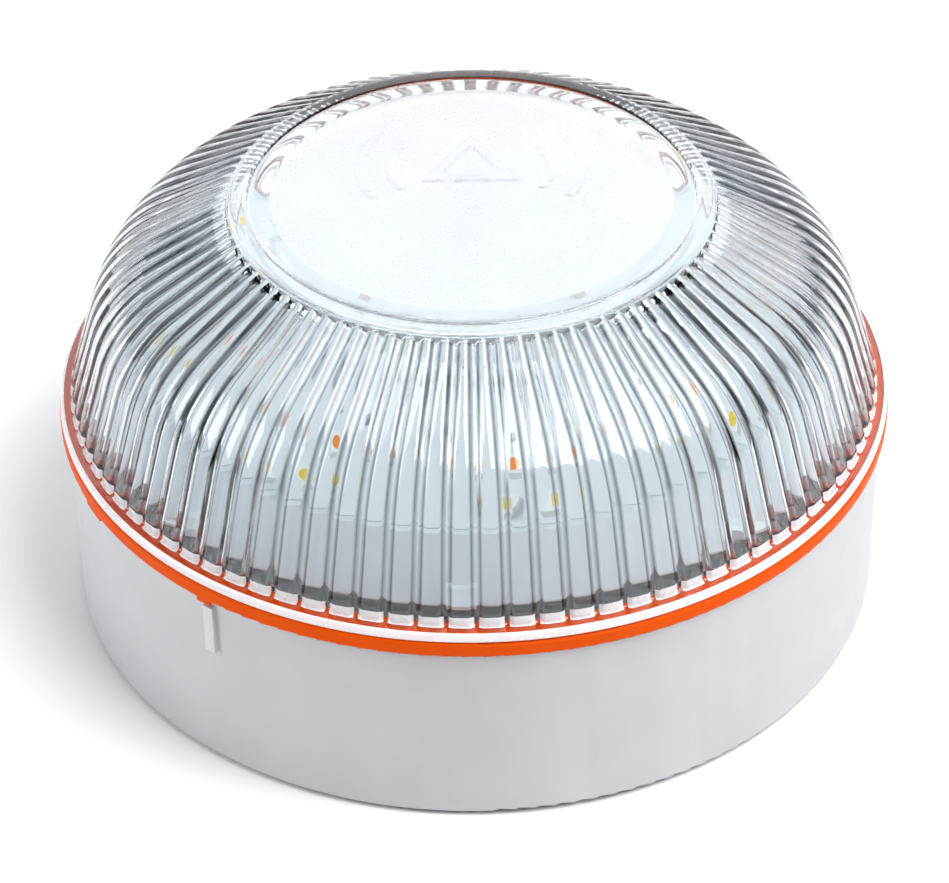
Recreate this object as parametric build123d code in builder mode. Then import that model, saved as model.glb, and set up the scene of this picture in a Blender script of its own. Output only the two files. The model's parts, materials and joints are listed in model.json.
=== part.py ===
from build123d import *
import os
from math import cos, radians, sin, tan

os.makedirs("parts", exist_ok=True)

# Magnetic roadside hazard beacon. Millimetres, +Z up, origin in the middle of the surface it stands on.
# The front of the object faces -Y. The dome unit is locked on the base by a three-lug bayonet.

# ---- driving dimensions -------------------------------------------------------------------------
BASE_RADIUS = 47.0           # outside of the grey base cup
BASE_WALL = 2.0
BASE_BOTTOM = 0.4            # underside of the cup; only the soft foot ring reaches z = 0
FLOOR_THICKNESS = 2.0
BASE_RIM = 23.1              # top of the cup
RING_RADIUS = 47.7           # outside of the orange ring, the widest place
RING_BOTTOM = 23.2
RING_TOP = 25.2
FLANGE_RADIUS = 47.6         # rim flange of the clear dome
FLANGE_THICKNESS = 1.0

DOME_FOOT = 26.4             # height where the ribbed wall starts
DOME_CORNER_RADIUS = 41.6    # where the lines of wall and roof would meet, distance from the axis
DOME_CORNER_HEIGHT = 41.9    # and height
WALL_LEAN = 17.3             # degrees the wall leans in from the vertical
ROOF_SLOPE = 29.1            # degrees the roof slopes down from the horizontal
SHOULDER_RADIUS = 15.2       # round shoulder between wall and roof
COVER_WALL = 2.2
WINDOW_RIM_RADIUS = 27.3     # the roof's ribs end here
WINDOW_GROOVE_RADIUS = 25.0   # fine ring round the frosted window
CROWN_HEIGHT = 50.4
RIB_COUNT = 90
RIB_GROOVE_WIDTH = 0.9
RIB_GROOVE_DEPTH = 0.5

TWIST_TO_OPEN = 25.0         # degrees anticlockwise from locked to free
BUTTON_OUT = 0.8             # travel of the magnet button down to a steel roof
BUTTON_IN = 1.2              # travel when pressed up into the base
FIT = 0.3                    # gap beside faces that move past each other
SCREW_RADIUS = 1.25          # shank of every screw
SCREW_HEAD_HEIGHT = 1.5
SCREW_LENGTH = 5.0
SCREW_SLOT = (0.6, 0.8)      # width and depth of the cross in a screw's head

# ---- heights and radii worked out from them ----------------------------------------------------
FLOOR_TOP = BASE_BOTTOM + FLOOR_THICKNESS
BASE_INSIDE = BASE_RADIUS - BASE_WALL
INDEX_ANGLE = -127.5         # index rib on the base, left of the front

LUG_ANGLES = [-90, 30, 150]
BASE_LUG_SPAN = 24.0
BASE_LUG_BOTTOM = 20.3
BASE_LUG_TOP = 22.0
BASE_LUG_INSIDE = BASE_INSIDE - 1.0
COVER_LUG_SPAN = 20.0
COVER_LUG_BOTTOM = 18.5
COVER_LUG_TOP = BASE_LUG_BOTTOM - FIT
COVER_LUG_OUTSIDE = BASE_INSIDE - FIT
SKIRT_OUTSIDE = BASE_LUG_INSIDE - 0.4
SKIRT_INSIDE = 42.4
SHELF_TOP = 26.3             # shelf inside the foot of the dome that the snap hooks catch

BUTTON_HOLE = 13.2
BUTTON_RADIUS = 12.8
BUTTON_FACE = BUTTON_OUT     # rests recessed, and comes down to the roof when the magnet pulls
BUTTON_FLANGE_RADIUS = 14.6
BUTTON_FLANGE_BOTTOM = 3.3
BUTTON_FLANGE_TOP = 4.1
MAGNET_BOTTOM = 1.6
MAGNET_TOP = 3.8
MAGNET_RADIUS = 11.3
MAGNET_POCKET = 11.5
MAGNET_BORE = 4.0
YOKE_TOP = 4.5
YOKE_RADIUS = 11.2
ROD_FOOT_TOP = 5.0
ROD_FOOT_RADIUS = 3.6
ROD_TOP = 23.6
ROD_RADIUS = 2.0
BRIDGE_BOTTOM = ROD_FOOT_TOP + BUTTON_IN + 0.2
BRIDGE_TOP = BRIDGE_BOTTOM + 1.8
COLLAR_BOTTOM = 14.0
COLLAR_TOP = 14.8
COLLAR_RADIUS = 4.2
BOSS_PLACES = [(-10, -18), (10, -18)]
BOSS_RADIUS = 3.2

DECK_BOTTOM = 24.0
DECK_TOP = RING_TOP
RECESS_RADIUS = 36.8         # round recess that takes the board
BOARD_BOTTOM = 30.4
BOARD_TOP = 32.0
BOARD_RADIUS = RECESS_RADIUS - 0.1
LAMP_PAIRS = 8
LAMP_START = 10.0            # azimuth of the first pair of lamps
WHITE_LAMP_RADIUS = 34.0
AMBER_LAMP_RADIUS = 27.0
LAMP_LENGTH = 3.5
LAMP_WIDTH = 2.8
LAMP_HEIGHT = 0.8
TORCH_LAMP_RADIUS = 7.0
HOOK_START = -92.0           # azimuth of the first snap hook
HOOK_COUNT = 8
POST_CIRCLE = 18.0           # circle of the three board screws
POST_COUNT = 3
POST_START = 90.0
STEM_HOLE = 2.8              # hole in the deck for the switch stem

BATTERY_LENGTH = 46.4        # case of a standard 9 V block, lying flat
BATTERY_WIDTH = 26.5
BATTERY_HEIGHT = 17.5
TERMINAL_HEIGHT = 2.1
TERMINAL_SPACING = 12.7
BATTERY_BOTTOM = 6.0
BATTERY_SIDE = 6.0           # side face that passes the plunger rod
BATTERY_BACK_END = -24.25


def radial_plane(angle):
    """Upright plane through the axis: local x runs outward at the azimuth, local y is height."""
    a = radians(angle)
    return Plane(origin=(0, 0, 0), x_dir=(cos(a), sin(a), 0), z_dir=(sin(a), -cos(a), 0))


def dome_corner(depth):
    """Corner of the dome's outline, a given depth under the ribbed surface."""
    wall_normal = WALL_LEAN
    roof_normal = 90 - ROOF_SLOPE
    middle = radians((wall_normal + roof_normal) / 2)
    reach = depth / cos(radians((roof_normal - wall_normal) / 2))
    return DOME_CORNER_RADIUS - reach * cos(middle), DOME_CORNER_HEIGHT - reach * sin(middle)


def wall_point(height, depth=0.0):
    """Point on the dome's leaning wall at a height."""
    corner_r, corner_z = dome_corner(depth)
    return corner_r + (corner_z - height) * tan(radians(WALL_LEAN)), height


def roof_point(radius, depth=0.0):
    """Point on the dome's sloping roof at a distance from the axis."""
    corner_r, corner_z = dome_corner(depth)
    return radius, corner_z + (corner_r - radius) * tan(radians(ROOF_SLOPE))


def dome_line(start, end, depth):
    """Wall, round shoulder and roof as one smooth line, a given depth under the surface."""
    return FilletPolyline(start, dome_corner(depth), end, radius=SHOULDER_RADIUS - depth)


# ================================ base body ======================================================

# base_housing: grey cup with bayonet lugs, button hole and collar, battery rail, ribs and screw bosses
BUTTON_COLLAR = (15.0, 15.9)  # inside and outside radius
BUTTON_COLLAR_HEIGHT = 2.4
BATTERY_RAIL = (30.0, 31.4)
BATTERY_GAP = 0.4             # from the top of the rail to the battery
BOTTOM_EDGE = 0.6             # fillet of the cup's lower edge
RIM_EDGE = 0.25               # chamfer of its rim
INNER_CORNER = 1.5
FLOOR_RIB_COUNT = 12
FLOOR_RIB_ANGLE = 7.5         # azimuth of the first floor rib
FLOOR_RIB_WIDTH = 1.2
FLOOR_RIB_HEIGHT = 1.6
FLOOR_RIB_START = 30.7        # ends inside the rail and inside the wall
FLOOR_RIB_END = 45.6
FOOT_INSIDE = 40.0
FOOT_OUTSIDE = 44.0
FOOT_TOP = 0.9
FOOT_EDGE = 0.25
INDEX_WIDTH = 1.3
INDEX_PROUD = 0.5
INDEX_BOTTOM = 16.1
INDEX_TOP = 22.3
STOP_START = -12.8            # block that stops the bayonet at locked
STOP_SPAN = 2.0
BOSS_HOLE = 3.4               # depth of the screw holes
LUG_ROOT = 0.2                # how far a lug reaches into the wall
LUG_MIDDLE = (BASE_LUG_INSIDE + BASE_INSIDE + LUG_ROOT) / 2
LUG_REACH = BASE_INSIDE + LUG_ROOT - BASE_LUG_INSIDE

with BuildPart() as base_housing:
    with BuildSketch(Plane.XZ):
        with BuildLine():
            Polyline((BUTTON_HOLE, BASE_BOTTOM), (BASE_RADIUS, BASE_BOTTOM), (BASE_RADIUS, BASE_RIM),
                     (BASE_INSIDE, BASE_RIM), (BASE_INSIDE, FLOOR_TOP), (BUTTON_HOLE, FLOOR_TOP), close=True)
        make_face()
    revolve(axis=Axis.Z)
    outer_edges = base_housing.edges().filter_by(GeomType.CIRCLE).sort_by(SortBy.RADIUS)[-2:]
    fillet(outer_edges.sort_by(Axis.Z)[0], radius=BOTTOM_EDGE)
    chamfer(outer_edges.sort_by(Axis.Z)[-1], length=RIM_EDGE)
    inner_corner = (base_housing.edges().filter_by(GeomType.CIRCLE)
                    .filter_by(lambda e: abs(e.radius - BASE_INSIDE) < 0.01).sort_by(Axis.Z)[0])
    fillet(inner_corner, radius=INNER_CORNER)
    with BuildSketch(Plane.XY.offset(BASE_BOTTOM)):
        Circle(FOOT_OUTSIDE)
        Circle(FOOT_INSIDE, mode=Mode.SUBTRACT)
    extrude(amount=FOOT_TOP - BASE_BOTTOM, mode=Mode.SUBTRACT)
    with BuildSketch(Plane.XY.offset(FLOOR_TOP)):
        Circle(BUTTON_COLLAR[1])
        Circle(BUTTON_COLLAR[0], mode=Mode.SUBTRACT)
    extrude(amount=BUTTON_COLLAR_HEIGHT)
    with BuildSketch(Plane.XY.offset(FLOOR_TOP)):
        Circle(BATTERY_RAIL[1])
        Circle(BATTERY_RAIL[0], mode=Mode.SUBTRACT)
    extrude(amount=BATTERY_BOTTOM - BATTERY_GAP - FLOOR_TOP)
    with BuildSketch(Plane.XY.offset(FLOOR_TOP)):
        with PolarLocations((FLOOR_RIB_START + FLOOR_RIB_END) / 2, FLOOR_RIB_COUNT,
                            start_angle=FLOOR_RIB_ANGLE):
            Rectangle(FLOOR_RIB_END - FLOOR_RIB_START, FLOOR_RIB_WIDTH)
    extrude(amount=FLOOR_RIB_HEIGHT)
    with BuildSketch(Plane.XY.offset(FLOOR_TOP)):
        with Locations(*BOSS_PLACES):
            Circle(BOSS_RADIUS)
    extrude(amount=BRIDGE_BOTTOM - FLOOR_TOP)
    with Locations(*[(x, y, BRIDGE_BOTTOM) for x, y in BOSS_PLACES]):
        Hole(radius=SCREW_RADIUS, depth=BOSS_HOLE)
    lug_planes = [radial_plane(angle - BASE_LUG_SPAN / 2) for angle in LUG_ANGLES]
    with BuildSketch(*lug_planes):
        with Locations((LUG_MIDDLE, (BASE_LUG_BOTTOM + BASE_LUG_TOP) / 2)):
            Rectangle(LUG_REACH, BASE_LUG_TOP - BASE_LUG_BOTTOM)
    revolve(axis=Axis.Z, revolution_arc=BASE_LUG_SPAN)
    with BuildSketch(*[radial_plane(angle + STOP_START) for angle in LUG_ANGLES]):
        with Locations((LUG_MIDDLE, (COVER_LUG_BOTTOM + BASE_LUG_TOP) / 2)):
            Rectangle(LUG_REACH, BASE_LUG_TOP - COVER_LUG_BOTTOM)
    revolve(axis=Axis.Z, revolution_arc=STOP_SPAN)
    with BuildSketch(radial_plane(INDEX_ANGLE)):
        with Locations((BASE_RADIUS + INDEX_PROUD, INDEX_BOTTOM)):
            Rectangle(INDEX_PROUD + 1.0, INDEX_TOP - INDEX_BOTTOM, align=(Align.MAX, Align.MIN))
    extrude(amount=INDEX_WIDTH / 2, both=True)

base_housing.part.label = "base_housing"
export_step(base_housing.part, "parts/base_housing.step")

# foot_ring: soft ring set in the groove under the base
with BuildPart() as foot_ring:
    with BuildSketch():
        Circle(FOOT_OUTSIDE)
        Circle(FOOT_INSIDE, mode=Mode.SUBTRACT)
    extrude(amount=FOOT_TOP)
    fillet(foot_ring.edges().group_by(Axis.Z)[0], radius=FOOT_EDGE)

foot_ring.part.label = "foot_ring"
export_step(foot_ring.part, "parts/foot_ring.step")

# button_bridge: plate on the two bosses that guides the plunger rod and carries its spring
BRIDGE_NECK = 4.2             # half the width of the plate beside the rod
BRIDGE_EDGE = 2.4             # from a screw's middle to the plate's side
BRIDGE_RADIUS = 4.8           # round the rod, clear of the battery

with BuildPart() as button_bridge:
    with BuildSketch(Plane.XY.offset(BRIDGE_BOTTOM)):
        with BuildLine():
            left, right = BOSS_PLACES
            Polyline((left[0] - BRIDGE_EDGE, left[1]), (-BRIDGE_NECK, 0), (BRIDGE_NECK, 0),
                     (right[0] + BRIDGE_EDGE, right[1]), close=True)
        make_face()
        Circle(BRIDGE_RADIUS)
        with Locations(*BOSS_PLACES):
            Circle(BOSS_RADIUS)
    extrude(amount=BRIDGE_TOP - BRIDGE_BOTTOM)
    with Locations((0, 0, BRIDGE_TOP)):
        Hole(radius=ROD_RADIUS + FIT)
    with Locations(*[(x, y, BRIDGE_TOP) for x, y in BOSS_PLACES]):
        Hole(radius=SCREW_RADIUS)

button_bridge.part.label = "button_bridge"
export_step(button_bridge.part, "parts/button_bridge.step")

# bridge_screws: two pan-head screws
BRIDGE_SCREW_HEAD = 2.3

with BuildPart() as bridge_screws:
    with BuildSketch(Plane.XY.offset(BRIDGE_TOP)):
        with Locations(*BOSS_PLACES):
            Circle(BRIDGE_SCREW_HEAD)
    extrude(amount=SCREW_HEAD_HEIGHT)
    with BuildSketch(Plane.XY.offset(BRIDGE_TOP)):
        with Locations(*BOSS_PLACES):
            Circle(SCREW_RADIUS)
    extrude(amount=-SCREW_LENGTH)
    with BuildSketch(Plane.XY.offset(BRIDGE_TOP + SCREW_HEAD_HEIGHT)):
        with Locations(*BOSS_PLACES):
            Rectangle(BRIDGE_SCREW_HEAD + 0.3, SCREW_SLOT[0])
            Rectangle(SCREW_SLOT[0], BRIDGE_SCREW_HEAD + 0.3)
    extrude(amount=-SCREW_SLOT[1], mode=Mode.SUBTRACT)

bridge_screws.part.label = "bridge_screws"
export_step(bridge_screws.part, "parts/bridge_screws.step")

# return_spring: holds the magnet button back from the roof
SPRING_RADIUS = 3.2
SPRING_WIRE = 0.25
SPRING_TURNS = 5
SPRING_LOW = BRIDGE_TOP + SPRING_WIRE
SPRING_HIGH = COLLAR_BOTTOM - SPRING_WIRE

with BuildPart() as return_spring:
    with BuildLine() as spring_line:
        Helix(pitch=(SPRING_HIGH - SPRING_LOW) / SPRING_TURNS, height=SPRING_HIGH - SPRING_LOW,
              radius=SPRING_RADIUS, center=(0, 0, SPRING_LOW))
    with BuildSketch(Plane(origin=spring_line.line @ 0, z_dir=spring_line.line % 0)):
        Circle(SPRING_WIRE)
    sweep(is_frenet=True)

return_spring.part.label = "return_spring"
export_step(return_spring.part, "parts/return_spring.step")

# ================================ magnet button body =============================================

BUTTON_EDGE = 0.5
MAGNET_EDGE = 0.2             # chamfer of the magnet and its yoke

# button_shell: plastic cap, open at the top, with the flange that keeps it in the base
with BuildPart() as button_shell:
    with BuildSketch(Plane.XZ):
        with BuildLine():
            Polyline((0, BUTTON_FACE), (BUTTON_RADIUS, BUTTON_FACE), (BUTTON_RADIUS, BUTTON_FLANGE_BOTTOM),
                     (BUTTON_FLANGE_RADIUS, BUTTON_FLANGE_BOTTOM), (BUTTON_FLANGE_RADIUS, BUTTON_FLANGE_TOP),
                     (MAGNET_POCKET, BUTTON_FLANGE_TOP), (MAGNET_POCKET, MAGNET_BOTTOM), (0, MAGNET_BOTTOM),
                     close=True)
        make_face()
    revolve(axis=Axis.Z)
    fillet(button_shell.edges().group_by(Axis.Z)[0], radius=BUTTON_EDGE)
    with BuildSketch(Plane.XY.offset(MAGNET_BOTTOM)):
        Circle(MAGNET_BORE)
    extrude(amount=MAGNET_TOP - MAGNET_BOTTOM)

button_shell.part.label = "button_shell"
export_step(button_shell.part, "parts/button_shell.step")

# ring_magnet: round the shell's middle boss
with BuildPart() as ring_magnet:
    with BuildSketch(Plane.XY.offset(MAGNET_BOTTOM)):
        Circle(MAGNET_RADIUS)
        Circle(MAGNET_BORE, mode=Mode.SUBTRACT)
    extrude(amount=MAGNET_TOP - MAGNET_BOTTOM)
    chamfer(ring_magnet.edges().filter_by(GeomType.CIRCLE), length=MAGNET_EDGE)

ring_magnet.part.label = "ring_magnet"
export_step(ring_magnet.part, "parts/ring_magnet.step")

# yoke_disc: steel disc behind the magnet
with BuildPart() as yoke_disc:
    with BuildSketch(Plane.XY.offset(MAGNET_TOP)):
        Circle(YOKE_RADIUS)
    extrude(amount=YOKE_TOP - MAGNET_TOP)
    chamfer(yoke_disc.edges().group_by(Axis.Z)[-1], length=MAGNET_EDGE)

yoke_disc.part.label = "yoke_disc"
export_step(yoke_disc.part, "parts/yoke_disc.step")

# plunger_rod: carries the button's travel up to the switch stem
with BuildPart() as plunger_rod:
    with BuildSketch(Plane.XY.offset(YOKE_TOP)):
        Circle(ROD_FOOT_RADIUS)
    extrude(amount=ROD_FOOT_TOP - YOKE_TOP)
    with BuildSketch(Plane.XY.offset(ROD_FOOT_TOP)):
        Circle(ROD_RADIUS)
    extrude(amount=ROD_TOP - ROD_FOOT_TOP)
    fillet(plunger_rod.edges().group_by(Axis.Z)[-1], radius=ROD_RADIUS / 4)

plunger_rod.part.label = "plunger_rod"
export_step(plunger_rod.part, "parts/plunger_rod.step")

# spring_collar: clipped on the rod over the spring, split at the front
COLLAR_SLOT = 1.4

with BuildPart() as spring_collar:
    with BuildSketch(Plane.XY.offset(COLLAR_BOTTOM)):
        Circle(COLLAR_RADIUS)
        Circle(ROD_RADIUS, mode=Mode.SUBTRACT)
        with Locations((0, -COLLAR_RADIUS)):
            Rectangle(COLLAR_SLOT, COLLAR_RADIUS, mode=Mode.SUBTRACT)
    extrude(amount=COLLAR_TOP - COLLAR_BOTTOM)

spring_collar.part.label = "spring_collar"
export_step(spring_collar.part, "parts/spring_collar.step")

# ================================ lens unit body =================================================

# lens_cover: clear skirt, rim flange and ribbed dome in one moulding
FLANGE_TOP = RING_TOP + FLANGE_THICKNESS
ROOF_END = roof_point(WINDOW_RIM_RADIUS)
INNER_FOOT = wall_point(SHELF_TOP, COVER_WALL)
INNER_ROOF = roof_point(WINDOW_RIM_RADIUS - 1.0, COVER_WALL)
WINDOW_EDGE = CROWN_HEIGHT - 0.2
FLANGE_EDGE = 0.5
RING_GROOVE = (0.3, 0.6)      # width and depth of the fine ring, below the window's edge
ABOVE = -2                    # depth of a line well above the dome's surface
GROOVE_FOOT = DOME_FOOT + 0.3
PICTOGRAM_PROUD = 0.2
PICTOGRAM_ROOT = 0.5          # how far its solid reaches below the crown
PICTOGRAM_Y = 5.5             # its middle, behind the window's own
TRIANGLE = (6.4, 4.2)         # outer and inner radius of its corners
PICTOGRAM_ARCS = (9.0, 12.5)
ARC_SPAN = 56.0
ARC_WIDTH = 1.1

with BuildPart() as lens_cover:
    with BuildSketch(Plane.XZ):
        with BuildLine():
            dome_line(wall_point(DOME_FOOT), ROOF_END, 0)
            Polyline(ROOF_END, (WINDOW_GROOVE_RADIUS, WINDOW_EDGE), (0, CROWN_HEIGHT))
            dome_line(INNER_FOOT, INNER_ROOF, COVER_WALL)
            Polyline((0, CROWN_HEIGHT), (0, INNER_ROOF[1]), INNER_ROOF)
            Polyline(INNER_FOOT, (SKIRT_INSIDE, SHELF_TOP), (SKIRT_INSIDE, COVER_LUG_BOTTOM),
                     (SKIRT_OUTSIDE, COVER_LUG_BOTTOM), (SKIRT_OUTSIDE, RING_TOP),
                     (FLANGE_RADIUS, RING_TOP), (FLANGE_RADIUS, FLANGE_TOP), wall_point(DOME_FOOT))
        make_face()
    revolve(axis=Axis.Z)
    flange_edge = (lens_cover.edges().filter_by(GeomType.CIRCLE)
                   .filter_by(lambda e: abs(e.radius - FLANGE_RADIUS) < 0.01).sort_by(Axis.Z)[-1])
    fillet(flange_edge, radius=FLANGE_EDGE)
    with BuildSketch(*[radial_plane(angle - COVER_LUG_SPAN / 2) for angle in LUG_ANGLES]):
        with Locations((SKIRT_OUTSIDE - 0.5, COVER_LUG_BOTTOM)):
            Rectangle(COVER_LUG_OUTSIDE - SKIRT_OUTSIDE + 0.5, COVER_LUG_TOP - COVER_LUG_BOTTOM,
                      align=(Align.MIN, Align.MIN))
    revolve(axis=Axis.Z, revolution_arc=COVER_LUG_SPAN)
    with BuildSketch(Plane.XY.offset(CROWN_HEIGHT)):
        Circle(WINDOW_GROOVE_RADIUS + RING_GROOVE[0] / 2)
        Circle(WINDOW_GROOVE_RADIUS - RING_GROOVE[0] / 2, mode=Mode.SUBTRACT)
    extrude(amount=WINDOW_EDGE - RING_GROOVE[1] - CROWN_HEIGHT, mode=Mode.SUBTRACT)
    # one groove between two ribs, then all of them
    with BuildSketch(Plane.XZ):
        with BuildLine():
            groove_floor = dome_line(wall_point(GROOVE_FOOT, RIB_GROOVE_DEPTH),
                                     roof_point(WINDOW_RIM_RADIUS, RIB_GROOVE_DEPTH), RIB_GROOVE_DEPTH)
            Polyline(groove_floor @ 1, roof_point(WINDOW_RIM_RADIUS, ABOVE), dome_corner(ABOVE),
                     wall_point(GROOVE_FOOT, ABOVE), groove_floor @ 0)
        make_face()
    groove = extrude(amount=RIB_GROOVE_WIDTH / 2, both=True, mode=Mode.PRIVATE)
    with PolarLocations(0, RIB_COUNT, start_angle=-90):
        add(groove, mode=Mode.SUBTRACT)
    # raised pictogram: a triangle with two light arcs on each side
    with BuildSketch(Plane.XY.offset(CROWN_HEIGHT - PICTOGRAM_ROOT)):
        with Locations((0, PICTOGRAM_Y)):
            RegularPolygon(radius=TRIANGLE[0], side_count=3, rotation=90)
            RegularPolygon(radius=TRIANGLE[1], side_count=3, rotation=90, mode=Mode.SUBTRACT)
        for arc_radius in PICTOGRAM_ARCS:
            for middle in (0, 180):
                with BuildLine(mode=Mode.PRIVATE) as arc_line:
                    CenterArc((0, PICTOGRAM_Y), arc_radius, middle - ARC_SPAN / 2, ARC_SPAN)
                SlotArc(arc_line.wire(), ARC_WIDTH)
    extrude(amount=PICTOGRAM_ROOT + PICTOGRAM_PROUD)

lens_cover.part.label = "lens_cover"
export_step(lens_cover.part, "parts/lens_cover.step")

# seal_ring: orange ring clamped under the flange, with two tabs that line up with the index rib
TAB_BOTTOM = 22.8
TAB_ROOT = RING_BOTTOM + 0.8  # the tabs reach this far up into the ring
TAB_INSIDE = BASE_RADIUS + FIT
TAB_OUTSIDE = RING_RADIUS - 0.1
RING_EDGE = 0.4
LOCK_TAB = (INDEX_ANGLE - 0.5, 2.2)                  # azimuth of the middle and span, degrees
OPEN_TAB = (INDEX_ANGLE - TWIST_TO_OPEN - 0.5, 4.4)

with BuildPart() as seal_ring:
    with BuildSketch(Plane.XY.offset(RING_BOTTOM)):
        Circle(RING_RADIUS)
        Circle(SKIRT_OUTSIDE + 0.2, mode=Mode.SUBTRACT)
    extrude(amount=RING_TOP - RING_BOTTOM)
    outer_edges = seal_ring.edges().filter_by(GeomType.CIRCLE).sort_by(SortBy.RADIUS)[-2:]
    fillet(outer_edges, radius=RING_EDGE)
    for middle, span in (LOCK_TAB, OPEN_TAB):
        with BuildSketch(radial_plane(middle - span / 2)):
            with Locations((TAB_INSIDE, TAB_BOTTOM)):
                Rectangle(TAB_OUTSIDE - TAB_INSIDE, TAB_ROOT - TAB_BOTTOM, align=(Align.MIN, Align.MIN))
        revolve(axis=Axis.Z, revolution_arc=span)

seal_ring.part.label = "seal_ring"
export_step(seal_ring.part, "parts/seal_ring.step")

# led_carrier: white deck, drum and cone round the board, side wall with its lip under the cover's skirt,
# snap hooks, screw posts and battery cheeks
CARRIER_RADIUS = SKIRT_INSIDE - FIT
CARRIER_WALL = 1.2
SEAT_INSIDE = RECESS_RADIUS - 1.2
DRUM_OUTSIDE = 36.6
DRUM_TOP = 29.6               # the cone's underside meets the drum here
CONE_TOP_RADIUS = 37.5
CONE_FOOT = 26.2              # the white cone reaches the side wall here
CONE_WALL = 0.8
LIP_RADIUS = 43.4             # lip under the skirt of the cover
LIP_TOP = COVER_LUG_BOTTOM - 0.1
LIP_BOTTOM = LIP_TOP - 0.8
HOOK_NOSE = 43.0
HOOK_WIDTH = 3.0
HOOK_ROOT = CONE_FOOT - 0.6
HOOK_CATCH = SHELF_TOP + 0.1  # face that holds the cover down
HOOK_TIP = HOOK_CATCH + 0.4
HOOK_TOP = SHELF_TOP + 1.6
SCREW_POST_RADIUS = 2.8
CHEEK_BOTTOM = 16.0
CHEEK_LENGTH = 30.0
CHEEK_THICKNESS = 0.8
CHEEK_GAP = 0.3               # beside the battery
END_CHEEK_LENGTH = 18.0
SLOT_GAP = 0.4                # round a contact where it rises through the deck
STRIP_X = 24.35               # leaf contacts stand against the battery's terminals
STRIP_THICKNESS = 0.4
POSITIVE_Y = BATTERY_SIDE + BATTERY_WIDTH / 2 - TERMINAL_SPACING / 2
NEGATIVE_Y = POSITIVE_Y + TERMINAL_SPACING
TAB_Y = (POSITIVE_Y, NEGATIVE_Y - 1.8)               # where the contacts rise through the deck
TAB_WIDTH = 2.0

with BuildPart() as led_carrier:
    with BuildSketch(Plane.XZ):
        with BuildLine():
            Polyline((0, DECK_BOTTOM), (DRUM_OUTSIDE, DECK_BOTTOM), (DRUM_OUTSIDE, DRUM_TOP),
                     (CARRIER_RADIUS - CARRIER_WALL, CONE_FOOT - CONE_WALL),
                     (CARRIER_RADIUS - CARRIER_WALL, LIP_BOTTOM), (LIP_RADIUS, LIP_BOTTOM),
                     (LIP_RADIUS, LIP_TOP), (CARRIER_RADIUS, LIP_TOP), (CARRIER_RADIUS, CONE_FOOT),
                     (CONE_TOP_RADIUS, BOARD_TOP), (RECESS_RADIUS, BOARD_TOP), (RECESS_RADIUS, BOARD_BOTTOM),
                     (SEAT_INSIDE, BOARD_BOTTOM), (SEAT_INSIDE, DECK_TOP), (0, DECK_TOP), close=True)
        make_face()
    revolve(axis=Axis.Z)
    # snap hooks over the shelf of the cover
    with BuildSketch(*[radial_plane(HOOK_START + i * 360 / HOOK_COUNT) for i in range(HOOK_COUNT)]):
        with BuildLine():
            Polyline((CARRIER_RADIUS - 1.0, HOOK_ROOT), (CARRIER_RADIUS, HOOK_ROOT),
                     (CARRIER_RADIUS, HOOK_CATCH), (HOOK_NOSE, HOOK_CATCH), (HOOK_NOSE, HOOK_TIP),
                     (CARRIER_RADIUS - 0.6, HOOK_TOP), (CARRIER_RADIUS - 2.0, HOOK_TOP), close=True)
        make_face()
    extrude(amount=HOOK_WIDTH / 2, both=True)
    # posts for the board screws
    with BuildSketch(Plane.XY.offset(DECK_TOP)):
        with PolarLocations(POST_CIRCLE, POST_COUNT, start_angle=POST_START):
            Circle(SCREW_POST_RADIUS)
            Circle(SCREW_RADIUS, mode=Mode.SUBTRACT)
    extrude(amount=BOARD_BOTTOM - DECK_TOP)
    # cheeks that hold the battery
    with BuildSketch(Plane.XY.offset(DECK_BOTTOM)):
        with Locations((0, BATTERY_SIDE - CHEEK_GAP)):
            Rectangle(CHEEK_LENGTH, CHEEK_THICKNESS, align=(Align.CENTER, Align.MAX))
        with Locations((0, BATTERY_SIDE + BATTERY_WIDTH + CHEEK_GAP)):
            Rectangle(CHEEK_LENGTH, CHEEK_THICKNESS, align=(Align.CENTER, Align.MIN))
        with Locations((BATTERY_BACK_END - CHEEK_GAP, BATTERY_SIDE + BATTERY_WIDTH / 2)):
            Rectangle(CHEEK_THICKNESS, END_CHEEK_LENGTH, align=(Align.MAX, Align.CENTER))
    extrude(amount=CHEEK_BOTTOM - DECK_BOTTOM)
    # hole for the switch stem and slots for the contacts
    with BuildSketch(Plane.XY.offset(DECK_BOTTOM)):
        Circle(STEM_HOLE)
        with Locations(*[(STRIP_X + STRIP_THICKNESS / 2, y) for y in TAB_Y]):
            Rectangle(STRIP_THICKNESS + 2 * SLOT_GAP, TAB_WIDTH + 2 * SLOT_GAP)
    extrude(amount=DECK_TOP - DECK_BOTTOM, mode=Mode.SUBTRACT)

led_carrier.part.label = "led_carrier"
export_step(led_carrier.part, "parts/led_carrier.step")

# led_board: round circuit board with its screw holes and a locating notch
BOARD_HOLE = 1.6
BOARD_NOTCH = 1.5

with BuildPart() as led_board:
    with BuildSketch(Plane.XY.offset(BOARD_BOTTOM)):
        Circle(BOARD_RADIUS)
        with PolarLocations(POST_CIRCLE, POST_COUNT, start_angle=POST_START):
            Circle(BOARD_HOLE, mode=Mode.SUBTRACT)
        with Locations((-BOARD_RADIUS, 0)):
            Circle(BOARD_NOTCH, mode=Mode.SUBTRACT)
    extrude(amount=BOARD_TOP - BOARD_BOTTOM)

led_board.part.label = "led_board"
export_step(led_board.part, "parts/led_board.step")

# board_screws: three pan-head screws
BOARD_SCREW_HEAD = 2.5

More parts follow.
